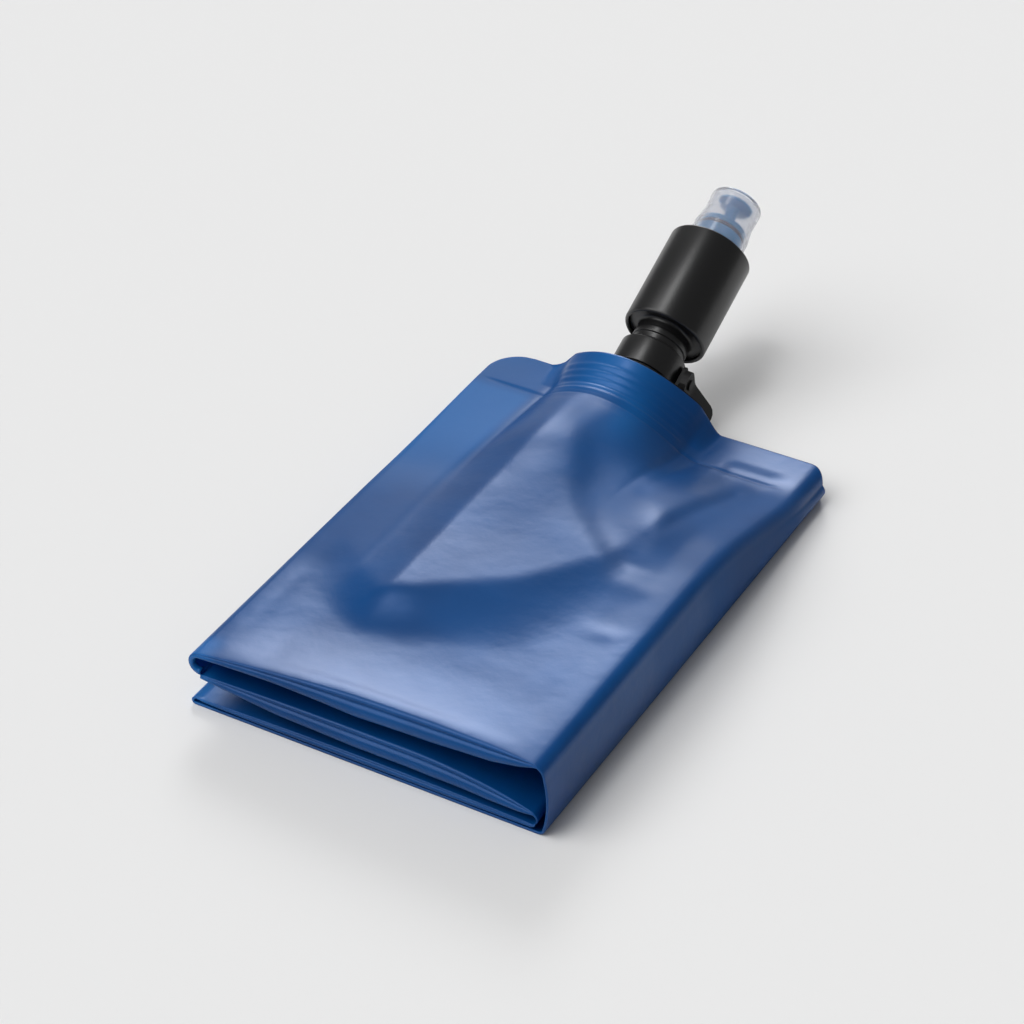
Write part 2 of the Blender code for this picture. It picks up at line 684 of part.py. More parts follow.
arm = add_object("hang_arm", arm_strap(), black_moulding, arm_frame)
strap = arm.modifiers.new("strap_thickness", "SOLIDIFY")
strap.thickness = ARM_THICKNESS
strap.offset = 0.0
strap.use_even_offset = True
arm_eye = rod("arm_eye", hole_radius, 3 * ARM_THICKNESS, arm_frame, (arm_x, 0, 0), sideways)
combine(arm, arm_eye, "DIFFERENCE")

pin_end = arm_x + ARM_THICKNESS / 2 + FIT_GAP
pin_outline = [
    (0, pin_end + ARM_PIN_HEAD),
    (ARM_PIN_HEAD_RADIUS, pin_end + ARM_PIN_HEAD),
    (ARM_PIN_HEAD_RADIUS, pin_end),
    (ARM_PIN_RADIUS, pin_end),
    (ARM_PIN_RADIUS, lug_inner),
    (0, lug_inner),
]
pin_frame = add_frame("pin_frame", pivot, sideways, boat_frame)
turned("arm_pin", pin_outline, black_moulding, pin_frame, steps=14, solid=True)


# Collar, seal and snap ring

gasket_start = SPOUT_NECK_END + FIT_GAP
gasket_end = gasket_start + GASKET_THICKNESS
lip_start = COLLAR_END - COLLAR_LIP
lip_bore = INLET_NECK_RADIUS + FIT_GAP
collar_bore = SPOUT_NECK_RADIUS + RUN_GAP
snap_floor = INLET_NECK_RADIUS - SNAP_GROOVE_DEPTH
snap_start = COLLAR_END + FIT_GAP
snap_end = snap_start + SNAP_RING_HEIGHT

turned_ring("spout_gasket", SPOUT_BORE_RADIUS, SPOUT_NECK_RADIUS, gasket_start, gasket_end, black_rubber)

collar_profile = [
    (COLLAR_RADIUS, COLLAR_END, COLLAR_ROUND),
    (COLLAR_RADIUS, COLLAR_START, FIT_GAP),
    (collar_bore, COLLAR_START, 0),
    (collar_bore, lip_start, 0),
    (lip_bore, lip_start, 0),
    (lip_bore, COLLAR_END, 0),
]
turned("collar", rounded(collar_profile, 3), black_moulding, spout_axis, 40)
turned_ring(
    "snap_ring", snap_floor + FIT_GAP, SNAP_RING_RADIUS, snap_start, snap_end, black_moulding, 32, FIT_GAP
)


# Inlet neck with the housing's lower cap, its O-ring and the inlet screen

bore_radius = HOUSING_RADIUS - HOUSING_WALL
cap_radius = bore_radius - FIT_GAP
cap_ring_centre = cap_radius - CAP_RING_RADIUS
groove_floor = cap_ring_centre - CAP_RING_RADIUS - FIT_GAP
groove_half = CAP_RING_RADIUS + FIT_GAP
lower_cap_start = HOUSING_START + LOWER_CAP_RECESS
lower_cap_end = lower_cap_start + CAP_THICKNESS
lower_ring_height = (lower_cap_start + lower_cap_end) / 2
screen_start = lower_cap_end - SCREEN_SEAT - SCREEN_THICKNESS


def cap_rim(low, high):
    # A cap's outer side from its top down, with the groove of its O-ring
    middle = (low + high) / 2
    return [
        (cap_radius, high, CAP_ROUND),
        (cap_radius, middle + groove_half, 0),
        (groove_floor, middle + groove_half, 0),
        (groove_floor, middle - groove_half, 0),
        (cap_radius, middle - groove_half, 0),
        (cap_radius, low, CAP_ROUND),
    ]


inlet_profile = cap_rim(lower_cap_start, lower_cap_end) + [
    (INLET_NECK_RADIUS, lower_cap_start, 0),
    (INLET_NECK_RADIUS, NECK_BEAD_END, 0),
    (NECK_BEAD_RADIUS, NECK_BEAD_END - FIT_GAP, 0),
    (NECK_BEAD_RADIUS, NECK_BEAD_START + FIT_GAP, 0),
    (INLET_NECK_RADIUS, NECK_BEAD_START, 0),
    (INLET_NECK_RADIUS, snap_end + FIT_GAP, 0),
    (snap_floor, snap_end + FIT_GAP, 0),
    (snap_floor, COLLAR_END, 0),
    (INLET_NECK_RADIUS, COLLAR_END, 0),
    (INLET_NECK_RADIUS, lip_start - FIT_GAP, 0),
    (SPOUT_NECK_RADIUS, lip_start - FIT_GAP, 0),
    (SPOUT_NECK_RADIUS, gasket_end + FIT_GAP, 0),
    (INLET_BORE_RADIUS, gasket_end + FIT_GAP, 0),
    (INLET_BORE_RADIUS, lower_cap_end, 0),
]
turned("inlet_neck", rounded(inlet_profile), black_moulding, spout_axis, 26)
o_ring("lower_cap_o_ring", cap_ring_centre, lower_ring_height, CAP_RING_RADIUS)

screen_radius = INLET_BORE_RADIUS - FIT_GAP
circle = arc(0, 0, screen_radius, 360, 360 / 28, 28)
screen_steps = [(screen_start, 1, 1), (screen_start + SCREEN_THICKNESS, 1, 1)]
screen = lofted("inlet_screen", circle, screen_steps, steel, spout_axis)
for ring_radius, holes in ((0.0, 1), (screen_radius * 0.58, SCREEN_HOLES)):
    for index in range(holes):
        angle = 2 * math.pi * index / holes
        place = (ring_radius * math.cos(angle), ring_radius * math.sin(angle), screen_start)
        hole = rod(f"screen_hole_{holes}_{index}", SCREEN_HOLE_RADIUS, CAP_THICKNESS, spout_axis, place, sides=8)
        combine(screen, hole, "DIFFERENCE")


# Housing and what it holds: cage, hollow fibre bundle, potting and top cap

turned_ring(
    "housing_shell", bore_radius, HOUSING_RADIUS, HOUSING_START, HOUSING_END, black_moulding, 48, HOUSING_ROUND
)

top_cap_end = HOUSING_END - TOP_CAP_RECESS
top_cap_start = top_cap_end - CAP_THICKNESS
spigot_start = HOUSING_END + FIT_GAP - STEM_SPIGOT_DEPTH
top_cap_profile = cap_rim(top_cap_start, top_cap_end) + [
    (OUTLET_RADIUS, top_cap_start, 0),
    (OUTLET_RADIUS, spigot_start - FIT_GAP, 0),
    (STEM_SPIGOT_RADIUS + FIT_GAP, spigot_start - FIT_GAP, 0),
    (STEM_SPIGOT_RADIUS + FIT_GAP, top_cap_end, 0),
]
turned("top_cap", rounded(top_cap_profile), black_moulding, spout_axis, 28)
o_ring("top_cap_o_ring", cap_ring_centre, (top_cap_start + top_cap_end) / 2, CAP_RING_RADIUS)

cage_radius = bore_radius - CAGE_GAP
cage_bore = cage_radius - CAGE_WALL
cage_start = lower_cap_end + FIT_GAP
cage_end = top_cap_start - FIT_GAP
cage = turned_ring("fibre_cage", cage_bore, cage_radius, cage_start, cage_end, white_moulding, 32)
slot_height = cage_start + (cage_end - cage_start) * 0.4
for index in range(CAGE_SLOTS // 2):
    bm = bmesh.new()
    bmesh.ops.create_cube(bm, size=1.0)
    bmesh.ops.scale(bm, vec=(4 * HOUSING_RADIUS, CAGE_SLOT_WIDTH, CAGE_SLOT_LENGTH), verts=bm.verts)
    slot = add_object(f"cage_slot_{index}", mesh_from(bm, "cage_slot", smooth=False), None, spout_axis)
    slot.location = (0, 0, slot_height)
    slot.rotation_euler = (0, 0, 2 * math.pi * index / CAGE_SLOTS)
    combine(cage, slot, "DIFFERENCE")

potting_end = cage_end - OUTLET_CHAMBER
potting_start = potting_end - POTTING_THICKNESS
potting_outline = [
    (0, potting_end),
    (cage_bore - FIT_GAP, potting_end),
    (cage_bore - FIT_GAP, potting_start),
    (0, potting_start),
]
turned("potting_disc", potting_outline, potting_resin, spout_axis, 28, solid=True)


def fluted_circle():
    # The bundle's outline: the fibres' outer row, drawn as shallow flutes
    points = []
    count = BUNDLE_FLUTES * 4
    for index in range(count):
        angle = 2 * math.pi * index / count
        radius = BUNDLE_RADIUS - BUNDLE_FLUTE_DEPTH * (1 - math.cos(BUNDLE_FLUTES * angle)) / 2
        points.append((radius * math.cos(angle), radius * math.sin(angle)))
    return points


bundle_start = cage_start + BUNDLE_FOOT
bundle_steps = [
    (bundle_start, 0.7, 0.7),
    (bundle_start + BUNDLE_BEND * 0.3, 0.9, 0.9),
    (bundle_start + BUNDLE_BEND, 1.0, 1.0),
    (potting_start - FIT_GAP, 1.0, 1.0),
]
lofted("fibre_bundle", fluted_circle(), bundle_steps, white_fibre, spout_axis)


# Mouthpiece: fixed stem, its O-ring and the sleeve that slides on it

stem_ring_centre = STEM_BASE_RADIUS + FIT_GAP - STEM_RING_RADIUS
stem_groove_floor = stem_ring_centre - STEM_RING_RADIUS - FIT_GAP
stem_groove_half = STEM_RING_RADIUS + FIT_GAP
bore_end = STEM_PLUG_START - STEM_POST_RADIUS / 2
port_height = bore_end - STEM_PORT_RADIUS - FIT_GAP
stem_start = HOUSING_END + FIT_GAP
stem_profile = [
    (0, STEM_PLUG_END, 0),
    (STEM_PLUG_RADIUS, STEM_PLUG_END, COLLAR_ROUND / 2),
    (STEM_PLUG_RADIUS, STEM_PLUG_START, 0),
    (STEM_POST_RADIUS, STEM_PLUG_START - RUN_GAP, 0),
    (STEM_POST_RADIUS, STEM_BASE_END, 0),
    (STEM_BASE_RADIUS, STEM_BASE_END, COLLAR_ROUND / 2),
    (STEM_BASE_RADIUS, STEM_RING_HEIGHT + stem_groove_half, 0),
    (stem_groove_floor, STEM_RING_HEIGHT + stem_groove_half, 0),
    (stem_groove_floor, STEM_RING_HEIGHT - stem_groove_half, 0),
    (STEM_BASE_RADIUS, STEM_RING_HEIGHT - stem_groove_half, 0),
    (STEM_BASE_RADIUS, stem_start, 0),
    (STEM_SPIGOT_RADIUS, stem_start, 0),
    (STEM_SPIGOT_RADIUS, spigot_start, 0),
    (STEM_BORE_RADIUS, spigot_start, 0),
    (STEM_BORE_RADIUS, bore_end, 0),
    (0, bore_end, 0),
]
stem = turned("nozzle_stem", rounded(stem_profile), blue_moulding, spout_axis, 28, solid=True)
for index in range(2):
    place = (0, 0, port_height)
    turn = (math.pi / 2, 0, math.pi / 2 * index)
    port = rod(f"stem_port_{index}", STEM_PORT_RADIUS, 3 * STEM_POST_RADIUS, spout_axis, place, turn, sides=10)
    combine(stem, port, "DIFFERENCE")
o_ring("stem_o_ring", stem_ring_centre, STEM_RING_HEIGHT, STEM_RING_RADIUS)

bead_end = SLEEVE_START + SLEEVE_WALL
tip_bend = SLEEVE_END - SLEEVE_ROUND * 2
lip_under = STEM_PLUG_END + FIT_GAP
sleeve_profile = [
    (SLEEVE_TIP_RADIUS, SLEEVE_END, SLEEVE_ROUND),
    (SLEEVE_TIP_RADIUS, tip_bend, 0),
    (SLEEVE_WAIST_RADIUS, SLEEVE_WAIST_HEIGHT, SLEEVE_ROUND * 2),
    (SLEEVE_BASE_RADIUS, SLEEVE_BASE_END, SLEEVE_ROUND * 2),
    (SLEEVE_BASE_RADIUS, SLEEVE_START, FIT_GAP),
    (stem_ring_centre + STEM_RING_RADIUS + FIT_GAP, SLEEVE_START, 0),
    (stem_ring_centre + STEM_RING_RADIUS + FIT_GAP, bead_end, 0),
    (SLEEVE_BASE_RADIUS - SLEEVE_WALL, bead_end, 0),
    (SLEEVE_BASE_RADIUS - SLEEVE_WALL, SLEEVE_BASE_END, 0),
    (SLEEVE_WAIST_RADIUS - SLEEVE_WALL, SLEEVE_WAIST_HEIGHT, 0),
    (SLEEVE_TIP_RADIUS - SLEEVE_WALL, lip_under - SLEEVE_WALL, 0),
    (SLEEVE_TIP_RADIUS - SLEEVE_WALL, lip_under, 0),
    (SLEEVE_MOUTH_RADIUS, lip_under, 0),
    (SLEEVE_MOUTH_RADIUS, SLEEVE_END, SLEEVE_WALL),
]
turned("nozzle_sleeve", rounded(sleeve_profile, 3), clear_moulding, spout_axis, 32)
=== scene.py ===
import math

import bmesh
import bpy
import numpy as np
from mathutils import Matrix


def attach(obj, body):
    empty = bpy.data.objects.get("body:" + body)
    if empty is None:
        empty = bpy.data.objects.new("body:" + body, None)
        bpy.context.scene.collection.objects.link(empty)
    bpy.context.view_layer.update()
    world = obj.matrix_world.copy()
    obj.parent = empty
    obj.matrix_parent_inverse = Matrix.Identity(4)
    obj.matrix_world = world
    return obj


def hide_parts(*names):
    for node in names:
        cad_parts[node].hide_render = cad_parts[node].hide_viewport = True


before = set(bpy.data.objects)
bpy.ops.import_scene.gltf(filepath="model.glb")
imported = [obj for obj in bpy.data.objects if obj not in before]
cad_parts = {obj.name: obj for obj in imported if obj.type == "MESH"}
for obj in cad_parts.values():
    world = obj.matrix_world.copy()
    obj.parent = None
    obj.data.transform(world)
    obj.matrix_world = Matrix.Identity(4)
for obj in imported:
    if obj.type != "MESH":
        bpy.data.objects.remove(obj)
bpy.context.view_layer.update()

MM = 0.001


# Camera: it looks down on the bag's open front from the right, through a long lens. Its
# place and angles come from a fit to the bag's and the filter's straight edges

FOCAL_PIXELS = 3100
PICTURE_PIXELS = 1024
camera = bpy.data.cameras.new("camera")
camera.sensor_width = 36.0
camera.lens = FOCAL_PIXELS / PICTURE_PIXELS * camera.sensor_width
camera.clip_start = 0.01
viewer = bpy.data.objects.new("camera", camera)
viewer.location = (0.5097, -0.9117, 0.8085)
viewer.rotation_euler = (math.radians(53.8), 0.0, math.radians(29.5))
bpy.context.scene.collection.objects.link(viewer)
bpy.context.scene.camera = viewer
bpy.context.scene.view_settings.view_transform = "Standard"


# Floor and light: a pale studio floor under a world with four soft panels. The key on the
# left throws the shadows, and two panels behind the bag and one overhead lay their sheen on
# the film. The camera, also through the clear sleeve, sees a plain backdrop in their place

AMBIENT = 0.2
BACKDROP = 0.81


def linear(hexa):
    # An sRGB colour such as "2a4f8c" as linear red, green and blue, with an alpha of 1
    values = [int(hexa[i:i + 2], 16) / 255 for i in (0, 2, 4)]
    return (*(v / 12.92 if v <= 0.04045 else ((v + 0.055) / 1.055) ** 2.4 for v in values), 1.0)


def node(material, kind, settings=None, **inputs):
    # Adds a node with its properties, and sets or links its inputs by name or number
    made = material.node_tree.nodes.new(kind)
    for name, value in (settings or {}).items():
        setattr(made, name, value)
    for name, value in inputs.items():
        key = int(name[1:]) if name[0] == "i" and name[1:].isdigit() else name.replace("_", " ")
        if isinstance(value, bpy.types.NodeSocket):
            material.node_tree.links.new(value, made.inputs[key])
        else:
            made.inputs[key].default_value = value
    return made


def new_material(name):
    material = bpy.data.materials.new(name)
    material.use_nodes = True
    material.node_tree.nodes.clear()
    return material


def output(material, surface):
    node(material, "ShaderNodeOutputMaterial", Surface=surface)
    return material


FLOOR_HALF = 4.0
bm = bmesh.new()
bmesh.ops.create_grid(bm, x_segments=1, y_segments=1, size=FLOOR_HALF)
floor_mesh = bpy.data.meshes.new("floor")
bm.to_mesh(floor_mesh)
bm.free()
floor = bpy.data.objects.new("floor", floor_mesh)
bpy.context.scene.collection.objects.link(floor)
floor_paper = new_material("studio_paper")
paper = node(floor_paper, "ShaderNodeBsdfPrincipled", Base_Color=linear("e8e8e8"), Roughness=0.9)
paper.inputs["Specular IOR Level"].default_value = 0.1
output(floor_paper, paper.outputs["BSDF"])
floor_mesh.materials.append(floor_paper)

world = bpy.data.worlds.new("studio")
world.use_nodes = True
world.node_tree.nodes.clear()
sky = node(world, "ShaderNodeTexCoord").outputs["Generated"]


def softbox(direction, inner, outer, strength):
    # A far, round soft light whose edge fades between two half angles in degrees
    size = math.hypot(*direction)
    unit = [part / size for part in direction]
    aim = node(world, "ShaderNodeVectorMath", {"operation": "DOT_PRODUCT"}, i0=sky, i1=unit)
    fade = node(
        world, "ShaderNodeMapRange", {"interpolation_type": "SMOOTHSTEP"},
        Value=aim.outputs["Value"], To_Min=0.0, To_Max=strength,
        From_Min=math.cos(math.radians(outer)), From_Max=math.cos(math.radians(inner)),
    )
    return fade.outputs["Result"]


key = softbox((-0.42, -0.45, 0.79), 18, 34, 3.0)
back = softbox((-0.42, 0.79, 0.45), 3, 13, 13.0)
wide = softbox((-0.40, 0.80, 0.45), 8, 34, 0.4)
top = softbox((-0.24, 0.0, 0.97), 3, 9, 10.0)
total = AMBIENT
for panel in (key, back, wide, top):
    total = node(world, "ShaderNodeMath", {"operation": "ADD"}, i0=panel, i1=total).outputs["Value"]
paths = node(world, "ShaderNodeLightPath").outputs
plain = node(
    world, "ShaderNodeMath", {"operation": "MAXIMUM"},
    i0=paths["Is Camera Ray"], i1=paths["Is Transmission Ray"],
).outputs["Value"]
shown = node(world, "ShaderNodeMix", {"data_type": "FLOAT"}, i0=plain, i2=total, i3=BACKDROP)
glow = node(world, "ShaderNodeBackground", Color=(1.0, 1.0, 1.0, 1.0), Strength=shown.outputs[0])
node(world, "ShaderNodeOutputWorld", Surface=glow.outputs["Background"])
bpy.context.scene.world = world


# Bag film: both films lofted like the solids they stand for. The outer one is creased and
# ribbed over its weld, and both are rolled in at the open front. Values with MM are in
# metres, and the points, heights and reaches without it are in millimetres

HALF_WIDTH = 83 * MM
LENGTH = 258 * MM
SEAM_Y = 129 * MM
FILM = 0.5 * MM
SHOWN_FILM = 0.4 * MM
LIP_LEFT = 26.5 * MM
LIP_RIGHT = 34.5 * MM
MIDDLE_LIP = 16.5 * MM
MIDDLE_DROP = 8.5 * MM
MIDDLE_DROP_START = 0.6
LOWER_LEAF = 3.5 * MM
LOWER_CROWN = 1.2 * MM
SEAM_GAP = 0.5 * MM
SEAM_LEFT = 24.5 * MM
SEAM_RIGHT = 14.5 * MM
WING_REACH = 12 * MM
PINCH_REACH = 130 * MM
SPINE_REACH = 90 * MM
CORNER_RADIUS = 16 * MM
BACK_CORNER = 10 * MM
SPOUT_X = -13.5 * MM
SPOUT_HEIGHT = 29 * MM
SPOUT_TILT = math.radians(24.5)
SPOUT_ROLL = math.radians(6)
HALF_BOAT = 31 * MM
HALF_BOAT_THICKNESS = 17.5 * MM
BOAT_DEPTH = 17 * MM
FILM_BESIDE_BOAT = 3.7 * MM
FILM_OVER_BOAT = 1.25 * MM
WALL_BULGE = 1.5 * MM
WALL_TOP_RADIUS = 6 * MM
WALL_BOTTOM_RADIUS = 3 * MM
FOLD_INSET = 3.5 * MM
END_GAP = 0.55 * MM
SEAM_ROWS = 44
FRONT_ROWS = 128
LOOP_COLUMNS = 14
TOP_COLUMNS = 116
SHOULDER_COLUMNS = 9
WALL_COLUMNS = 12
HEEL_COLUMNS = 7
FLOOR_COLUMNS = 26
TOE_COLUMNS = 9
INNER_TOP_COLUMNS = 89
BEND_COLUMNS = 13
INNER_BACK_COLUMNS = 39


def smooth(value):
    value = np.clip(value, 0.0, 1.0)
    return value * value * (3 - 2 * value)


def blend(first, second, share):
    return first + (second - first) * share


def seam_line(x, inset):
    # The height where the films meet: the boat's middle line, and the wings beside it
    depth = np.minimum(inset, BOAT_DEPTH)
    nearest = np.clip(x, SPOUT_X - HALF_BOAT, SPOUT_X + HALF_BOAT)
    line = SPOUT_HEIGHT - depth * math.tan(SPOUT_TILT) - (nearest - SPOUT_X) * math.sin(SPOUT_ROLL)
    wing_end = np.where(x < SPOUT_X, SEAM_LEFT, SEAM_RIGHT)
    return blend(line, wing_end, smooth(abs(x - nearest) / WING_REACH))


def upper_leaf(x, inset):
    # Heights of the outer and of the inner film of the upper leaf
    share = (x + HALF_WIDTH) / (2 * HALF_WIDTH)
    top = blend(LIP_LEFT, LIP_RIGHT, 1 - (1 - share) ** 3)
    past_start = np.maximum(0.0, (share - MIDDLE_DROP_START) / (1 - MIDDLE_DROP_START))
    low = MIDDLE_LIP - MIDDLE_DROP * past_start ** 2
    away = smooth((inset - BOAT_DEPTH) / SPINE_REACH)
    middle = blend(seam_line(x, inset), (top + low) / 2, away)
    half = blend((FILM + SEAM_GAP) / 2, (top - low) / 2, smooth(inset / PINCH_REACH))
    reach = np.minimum(abs(x - SPOUT_X) / (HALF_BOAT + FILM_BESIDE_BOAT), 1.0)
    boat = (HALF_BOAT_THICKNESS + FILM_OVER_BOAT) * (1 - reach * reach)
    boat *= math.cos(SPOUT_TILT) * (1 - away)
    return middle + half + boat, middle - half - boat


def lower_leaf(x, inset):
    # Height of the inner film over the bottom of the outer one
    share = (x + HALF_WIDTH) / (2 * HALF_WIDTH)
    crown = LOWER_LEAF + LOWER_CROWN * np.sin(math.pi * share)
    return blend(FILM * 1.5 + SEAM_GAP, crown, smooth(inset / PINCH_REACH))


def sweep(centre_x, centre_z, radius, start, end, count):
    # Columns of an arc whose centre and radius may change from row to row
    angles = np.radians(np.linspace(start, end, count))[None, :]
    x = np.asarray(centre_x)[:, None] + np.asarray(radius)[:, None] * np.cos(angles)
    z = np.asarray(centre_z)[:, None] + np.asarray(radius)[:, None] * np.sin(angles)
    return x, z


def run(start, end, count, skip_ends=True):
    # Columns of straight steps in X between two columns
    shares = np.linspace(0, 1, count + 2)[1:-1] if skip_ends else np.linspace(0, 1, count)
    return start[:, None] + (end - start)[:, None] * shares[None, :]


insets = np.concatenate([
    np.linspace(0, 32 * MM, SEAM_ROWS), np.linspace(33.5 * MM, LENGTH, FRONT_ROWS),
])
column = insets[:, None]
edge_top, edge_low = upper_leaf(-HALF_WIDTH + 0 * insets, insets)
upper_radius = (edge_top - edge_low) / 2
lower_radius = (lower_leaf(-HALF_WIDTH, insets) - FILM / 2) / 2
short = np.maximum(CORNER_RADIUS - insets, 0.0)
corner = CORNER_RADIUS - np.sqrt(CORNER_RADIUS ** 2 - short ** 2)
upper_edge = FILM / 2 - HALF_WIDTH + corner + upper_radius
lower_edge = FILM / 2 - HALF_WIDTH + corner + lower_radius


def outer_sections():
    # X and Z of every column: left edge, top, right corner, wall, floor and lower left edge
    top, low = upper_leaf(upper_edge, insets)
    loop = sweep(upper_edge, (top + low) / 2, (top - low) / 2, 270, 95, LOOP_COLUMNS)
    wall_x = HALF_WIDTH - FILM / 2 - WALL_BULGE + 0 * insets
    wall_top = upper_leaf(wall_x, insets)[0]
    top_round = np.minimum(WALL_TOP_RADIUS, wall_top * 0.45)
    low_round = np.minimum(WALL_BOTTOM_RADIUS, wall_top * 0.25)
    across = run(upper_edge, wall_x - top_round, TOP_COLUMNS)
    over = upper_leaf(across, column)[0]
    shoulder = sweep(
        wall_x - top_round, wall_top - top_round, top_round, 85, 0, SHOULDER_COLUMNS,
    )
    drop = np.linspace(0, 1, WALL_COLUMNS + 2)[None, 1:-1]
    wall_z = (wall_top - top_round)[:, None] + (low_round - wall_top + top_round)[:, None] * drop
    wall = wall_x[:, None] + WALL_BULGE * 4 * drop * (1 - drop)
    heel = sweep(wall_x - low_round, low_round + FILM / 2, low_round, 0, -90, HEEL_COLUMNS)
    under = run(wall_x - low_round, lower_edge, FLOOR_COLUMNS)
    toe = sweep(lower_edge, FILM / 2 + lower_radius, lower_radius, 270, 90, TOE_COLUMNS)
    xs = np.concatenate([loop[0], across, shoulder[0], wall, heel[0], under, toe[0]], axis=1)
    flat = np.full_like(under, FILM / 2)
    zs = np.concatenate([loop[1], over, shoulder[1], wall_z, heel[1], flat, toe[1]], axis=1)
    upper = np.zeros(xs.shape[1])
    upper[:LOOP_COLUMNS + TOP_COLUMNS] = 1.0
    leaf = upper.copy()
    leaf[:LOOP_COLUMNS] = 0.0
    return xs, zs, leaf, upper


def inner_sections():
    # X and Z of every column: under the upper leaf, round the inner fold, over the lower leaf
    fold_x = HALF_WIDTH - WALL_BULGE - FOLD_INSET + 0 * insets
    fold_low = lower_leaf(fold_x, insets)
    fold_top = upper_leaf(fold_x - FOLD_INSET, insets)[1]
    radius = (fold_top - fold_low) / 2
    bend_x = fold_x - np.minimum(radius, FOLD_INSET)
    across = run(upper_edge, bend_x, INNER_TOP_COLUMNS + 1, skip_ends=False)[:, :-1]
    angles = np.radians(np.linspace(90, -90, BEND_COLUMNS))[None, :]
    bend = bend_x[:, None] + (fold_x - bend_x)[:, None] * np.cos(angles)
    bend_z = fold_low[:, None] + radius[:, None] * (1 + np.sin(angles))
    back = run(bend_x, lower_edge, INNER_BACK_COLUMNS + 1, skip_ends=False)[:, 1:]
    xs = np.concatenate([across, bend, back], axis=1)
    zs = np.concatenate([upper_leaf(across, column)[1], bend_z, lower_leaf(back, column)], axis=1)
    upper = np.zeros(xs.shape[1])
    upper[:INNER_TOP_COLUMNS] = 1.0
    return xs, zs, 0 * upper, upper


def distance(x, y, line):
    # Distance to a line of points in millimetres in plan, positive on its left side
    best = np.full(x.shape, 1e9)
    side = np.zeros(x.shape)
    for (ax, ay), (bx, by) in zip(line, line[1:]):
        ax, ay, bx, by = ax * MM, ay * MM, bx * MM, by * MM
        length = math.hypot(bx - ax, by - ay)
        ux, uy = (bx - ax) / length, (by - ay) / length
        along = np.clip((x - ax) * ux + (y - ay) * uy, 0, length)
        dx, dy = x - ax - along * ux, y - ay - along * uy
        gap = np.hypot(dx, dy)
        closer = gap < best
        best = np.where(closer, gap, best)
        side = np.where(closer, np.sign(ux * (y - ay) - uy * (x - ax)), side)
    return best * side


def ridge(x, y, line, height, width, fade=0.1):
    # A rounded ridge, or a valley when its height is negative, that fades in at its first point
    gap = distance(x, y, line)
    start = np.hypot(x - line[0][0] * MM, y - line[0][1] * MM)
    return height * MM * np.exp(-(gap / (width * MM)) ** 2) * smooth(start / (fade * MM))


TENT_HEIGHT = 4.8 * MM
TENT_LEFT = -54 * MM
TENT_TOP = -28 * MM
TENT_RIGHT = 45 * MM
TENT_CURVE = 1.4
TENT_RIGHT_DROP = 0.6
TENT_BACK = 110 * MM
TENT_BACK_EASE = 60 * MM
RIM = [(-95, -4), (-66, -36), (-33, -64), (-20, -59), (15, -33), (37, -3), (47, 35), (52, 140)]
RIM_CURVE = 1.2
FOOT = [(-95, -40), (-68, -68), (-32, -89), (-8, -88), (42, -70), (68, -15), (80, 60), (82, 140)]
LOW_GROUND = 2.8 * MM
LOW_GROUND_LEFT_EASE = 35 * MM
LOW_GROUND_RIGHT_START = 10 * MM
LOW_GROUND_RIGHT_EASE = 75 * MM
LIP_RISE_START = -88 * MM
LIP_RISE = 38 * MM
VALLEY = [
    (-9, 110), (-6, 80), (2, 62), (8, 50), (12, 40), (17, 32), (24, 24), (32, 16), (42, 6), (52, 0),
]
VALLEY_DEPTH = 1.6
VALLEY_REACH = 13 * MM
CREST_RISE = 3.6
CREST_REACH = 26 * MM
VALLEY_BACK = 96 * MM
VALLEY_BACK_EASE = 34 * MM
VALLEY_RIGHT = 62 * MM
VALLEY_RIGHT_EASE = 20 * MM
TENT_RIDGE = ([(-20, 58), (-14, 30)], 2.0, 26)


def folds(x, y):
    # The main folds: a tent whose rim falls to the low ground at its foot, as in the solid, and
    # a valley across it with a crest behind, whose line and depth aren't the solid's
    climb = np.clip((x - TENT_LEFT) / (TENT_TOP - TENT_LEFT), 0, 1) ** TENT_CURVE
    climb *= 1 - TENT_RIGHT_DROP * np.clip((x - TENT_TOP) / (TENT_RIGHT - TENT_TOP), 0, 1)
    climb *= smooth((TENT_BACK - y) / TENT_BACK_EASE)
    past_rim = np.maximum(-distance(x, y, RIM), 0.0)
    to_foot = np.maximum(distance(x, y, FOOT), 0.1 * MM)
    fall = np.sin(math.pi / 2 * past_rim / (past_rim + to_foot)) ** RIM_CURVE
    depth = LOW_GROUND * smooth((x + HALF_WIDTH) / LOW_GROUND_LEFT_EASE)
    depth *= smooth((HALF_WIDTH + LOW_GROUND_RIGHT_START - x) / LOW_GROUND_RIGHT_EASE)
    to_lip = np.clip((LIP_RISE_START - y) / LIP_RISE, 0, 1)
    lift = (depth + TENT_HEIGHT * climb) * (1 - fall) - depth * (1 - to_lip ** 2)
    across = distance(x, y, VALLEY)
    before = -VALLEY_DEPTH * smooth(1 + across / VALLEY_REACH)
    behind = CREST_RISE * smooth(across / CREST_REACH) - VALLEY_DEPTH
    valley = np.where(across < 0, before, behind) * MM
    valley *= smooth((VALLEY_BACK - y) / VALLEY_BACK_EASE)
    lift += valley * smooth((VALLEY_RIGHT - x) / VALLEY_RIGHT_EASE)
    return lift + ridge(x, y, *TENT_RIDGE)


# Soft swellings and dents: the centre, the reach along X and to the front and back, the height
SWELLINGS = [
    ((61, -12), (14, 6, 6), 0.5), ((66, -44), (14, 5, 5), 0.4), ((-14, 36), (20, 16, 16), 1.0),
    ((52, 2), (10, 3, 5), -0.3),
]
FOLD_DENT = ([(50, 20), (53, 50), (57, 86)], -0.7, 4, 20)


